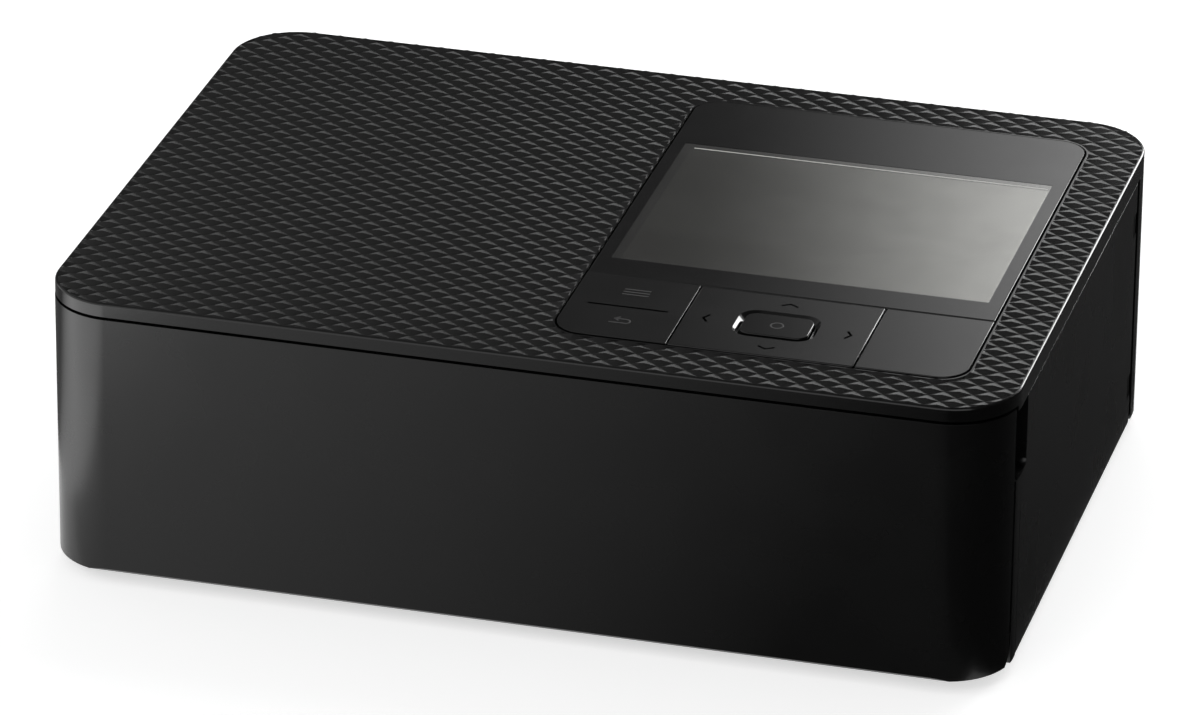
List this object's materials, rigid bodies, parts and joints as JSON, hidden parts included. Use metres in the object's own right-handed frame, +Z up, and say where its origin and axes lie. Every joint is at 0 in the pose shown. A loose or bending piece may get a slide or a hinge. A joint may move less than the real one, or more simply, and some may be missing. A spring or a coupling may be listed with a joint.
{
  "type": "compact photo printer",
  "caption": "Compact dye ribbon photo printer with a tilting front cover, a swinging ribbon door, a pyramid pattern top and a flush display and key panel.",
  "frame": {"origin": "on the table, under the middle of the casing", "axes": "+X to the user's right, -Y to the front, +Z up"},
  "size_m": [0.1822, 0.133, 0.0576],
  "materials": {
    "case_plastic": "moulded ABS, fine satin",
    "top_plastic": "moulded ABS, pyramid pattern",
    "base_plastic": "moulded ABS, spark eroded",
    "inner_plastic": "moulded ABS, matt",
    "window_acrylic": "smoked acrylic",
    "lcd_face": "display behind its cover",
    "key_plastic": "moulded ABS, satin",
    "ok_plastic": "moulded ABS, gloss edge",
    "cradle_plastic": "acetal",
    "foot_rubber": "soft rubber",
    "roller_rubber": "ground rubber",
    "pin_steel": "turned steel",
    "frame_steel": "pressed zinc-coated sheet",
    "heatsink_aluminium": "extruded",
    "head_ceramic": "glazed ceramic",
    "gear_acetal": "moulded acetal",
    "pinion_brass": "cut brass",
    "motor_steel": "plated can",
    "cassette_plastic": "moulded polystyrene",
    "spool_plastic": "moulded",
    "ribbon_film": "dye film",
    "lever_plastic": "moulded acetal",
    "board_laminate": "solder resist",
    "shield_steel": "tinned sheet",
    "jack_plastic": "moulded",
    "fan_plastic": "moulded",
    "flex_film": "polyimide film"
  },
  "bodies": {
    "casing": {"bottom_case": "base_plastic", "body_shell": "case_plastic", "front_frame": "inner_plastic", "top_cover": "top_plastic", "front_cover_pins": "pin_steel", "ink_door_pins": "pin_steel", "feet": "foot_rubber", "case_screws": "pin_steel", "panel_tray": "inner_plastic", "display_window": "window_acrylic", "lcd_module": "lcd_face", "key_board": "board_laminate", "key_switches": "shield_steel", "power_switch": "shield_steel", "left_frame": "frame_steel", "right_frame": "frame_steel", "paper_bay": "inner_plastic", "exit_guide": "inner_plastic", "head_pivot_shaft": "pin_steel", "head_springs": "pin_steel", "shaft_bushes": "gear_acetal", "feed_motor": "motor_steel", "main_board": "board_laminate", "wireless_module": "shield_steel", "usb_socket": "shield_steel", "dc_jack": "jack_plastic", "card_slot": "shield_steel", "fan_housing": "fan_plastic", "panel_cable": "flex_film"},
    "front_cover": {"front_cover": "case_plastic"},
    "ink_door": {"ink_door": "case_plastic"},
    "menu_key": {"menu_key": "key_plastic"},
    "nav_cradle": {"nav_cradle": "cradle_plastic"},
    "nav_key": {"nav_key": "key_plastic"},
    "ok_button": {"ok_button": "ok_plastic"},
    "print_key": {"print_key": "key_plastic"},
    "power_button": {"power_button": "key_plastic"},
    "head_arm": {"head_arm": "frame_steel", "thermal_head": "head_ceramic", "head_heatsink": "heatsink_aluminium"},
    "capstan": {"capstan_shaft": "pin_steel", "capstan_gear": "gear_acetal"},
    "platen": {"platen_roller": "roller_rubber", "platen_shaft": "pin_steel"},
    "pinch": {"pinch_roller": "pin_steel"},
    "pickup": {"pickup_rollers": "roller_rubber", "pickup_shaft": "pin_steel", "pickup_gear": "gear_acetal"},
    "motor_rotor": {"motor_pinion": "pinion_brass"},
    "takeup_idler": {"takeup_idler": "gear_acetal"},
    "takeup_drive": {"takeup_hub": "gear_acetal"},
    "feed_idler_a": {"feed_idler_a": "gear_acetal"},
    "feed_idler_b": {"feed_idler_b": "gear_acetal"},
    "cassette": {"ink_cassette": "cassette_plastic", "ink_ribbon": "ribbon_film"},
    "supply": {"supply_spool": "spool_plastic"},
    "takeup": {"takeup_spool": "spool_plastic"},
    "cassette_lever": {"cassette_lever": "lever_plastic"},
    "fan": {"fan_rotor": "fan_plastic"}
  },
  "joints": [
    {"name": "front_cover_tilt", "type": "hinge", "parent": "casing", "child": "front_cover", "pos_m": [0, -0.0615, 0.006], "axis": [1, 0, 0], "range_deg": [0, 90]},
    {"name": "ink_door_swing", "type": "hinge", "parent": "casing", "child": "ink_door", "pos_m": [0.0893, 0.049, 0], "axis": [0, 0, 1], "range_deg": [0, 95]},
    {"name": "menu_key_rock", "type": "hinge", "parent": "casing", "child": "menu_key", "pos_m": [0.01418, -0.04125, 0.0545], "axis": [1, 0, 0], "range_deg": [-2, 2], "stiffness_Nm_per_rad": 0.3},
    {"name": "nav_key_tilt_front_back", "type": "hinge", "parent": "casing", "child": "nav_cradle", "pos_m": [0.04255, -0.04125, 0.0553], "axis": [1, 0, 0], "range_deg": [-1.5, 1.5], "stiffness_Nm_per_rad": 0.3},
    {"name": "nav_key_tilt_side", "type": "hinge", "parent": "nav_cradle", "child": "nav_key", "pos_m": [0.04255, -0.04125, 0.0553], "axis": [0, 1, 0], "range_deg": [-1.5, 1.5], "stiffness_Nm_per_rad": 0.3},
    {"name": "ok_button_press", "type": "slide", "parent": "casing", "child": "ok_button", "axis": [0, 0, -1], "range_m": [0, 0.0005], "stiffness_N_per_m": 600},
    {"name": "print_key_press", "type": "slide", "parent": "casing", "child": "print_key", "axis": [0, 0, -1], "range_m": [0, 0.0005], "stiffness_N_per_m": 600},
    {"name": "power_button_press", "type": "slide", "parent": "casing", "child": "power_button", "axis": [1, 0, 0], "range_m": [0, 0.0007], "stiffness_N_per_m": 600},
    {"name": "head_arm_lift", "type": "hinge", "parent": "casing", "child": "head_arm", "pos_m": [0, -0.019, 0.0472], "axis": [1, 0, 0], "range_deg": [0, 3.5], "stiffness_Nm_per_rad": 0.5, "springref_deg": -8.59},
    {"name": "capstan_spin", "type": "hinge", "parent": "casing", "child": "capstan", "pos_m": [0, 0.027, 0.019], "axis": [1, 0, 0], "continuous": true},
    {"name": "platen_spin", "type": "hinge", "parent": "casing", "child": "platen", "pos_m": [0, 0.015, 0.016], "axis": [1, 0, 0], "continuous": true},
    {"name": "pinch_spin", "type": "hinge", "parent": "casing", "child": "pinch", "pos_m": [0, 0.027, 0.02392], "axis": [1, 0, 0], "continuous": true},
    {"name": "motor_spin", "type": "hinge", "parent": "casing", "child": "motor_rotor", "pos_m": [0, 0.03739, 0.013], "axis": [1, 0, 0], "continuous": true},
    {"name": "takeup_idler_spin", "type": "hinge", "parent": "casing", "child": "takeup_idler", "pos_m": [0, 0.02615, 0.03157], "axis": [1, 0, 0], "continuous": true},
    {"name": "takeup_drive_spin", "type": "hinge", "parent": "casing", "child": "takeup_drive", "pos_m": [0, 0.036, 0.036], "axis": [1, 0, 0], "continuous": true},
    {"name": "feed_idler_a_spin", "type": "hinge", "parent": "casing", "child": "feed_idler_a", "pos_m": [0, 0.01019, 0.0235], "axis": [1, 0, 0], "continuous": true},
    {"name": "feed_idler_b_spin", "type": "hinge", "parent": "casing", "child": "feed_idler_b", "pos_m": [0, -0.0088, 0.02069], "axis": [1, 0, 0], "continuous": true},
    {"name": "pickup_spin", "type": "hinge", "parent": "casing", "child": "pickup", "pos_m": [0, -0.026, 0.0305], "axis": [1, 0, 0], "continuous": true},
    {"name": "cassette_lever_swing", "type": "hinge", "parent": "casing", "child": "cassette_lever", "pos_m": [0, -0.0204, 0.034], "axis": [1, 0, 0], "range_deg": [0, 25]},
    {"name": "cassette_eject", "type": "slide", "parent": "casing", "child": "cassette", "axis": [1, 0, 0], "range_m": [0, 0.005]},
    {"name": "supply_spin", "type": "hinge", "parent": "cassette", "child": "supply", "pos_m": [0, -0.006, 0.036], "axis": [1, 0, 0], "continuous": true},
    {"name": "takeup_spin", "type": "hinge", "parent": "cassette", "child": "takeup", "pos_m": [0, 0.036, 0.036], "axis": [1, 0, 0], "continuous": true},
    {"name": "fan_spin", "type": "hinge", "parent": "casing", "child": "fan", "pos_m": [0, 0.037, 0.01965], "axis": [1, 0, 0], "continuous": true}
  ],
  "couplings": [
    {"joint": "platen_spin", "follows": "capstan_spin", "ratio": 0.5},
    {"joint": "pinch_spin", "follows": "capstan_spin", "ratio": -1.5789},
    {"joint": "motor_spin", "follows": "capstan_spin", "ratio": -1.8571},
    {"joint": "takeup_idler_spin", "follows": "capstan_spin", "ratio": -1.625},
    {"joint": "takeup_drive_spin", "follows": "capstan_spin", "ratio": 1.3},
    {"joint": "takeup_spin", "follows": "capstan_spin", "ratio": 1.3},
    {"joint": "supply_spin", "follows": "capstan_spin", "ratio": -0.81667},
    {"joint": "feed_idler_a_spin", "follows": "capstan_spin", "ratio": -0.8125},
    {"joint": "feed_idler_b_spin", "follows": "capstan_spin", "ratio": 0.8125},
    {"joint": "pickup_spin", "follows": "capstan_spin", "ratio": -0.76471},
    {"joint": "cassette_lever_swing", "follows": "cassette_eject", "rad_per_m": 87.179}
  ]
}
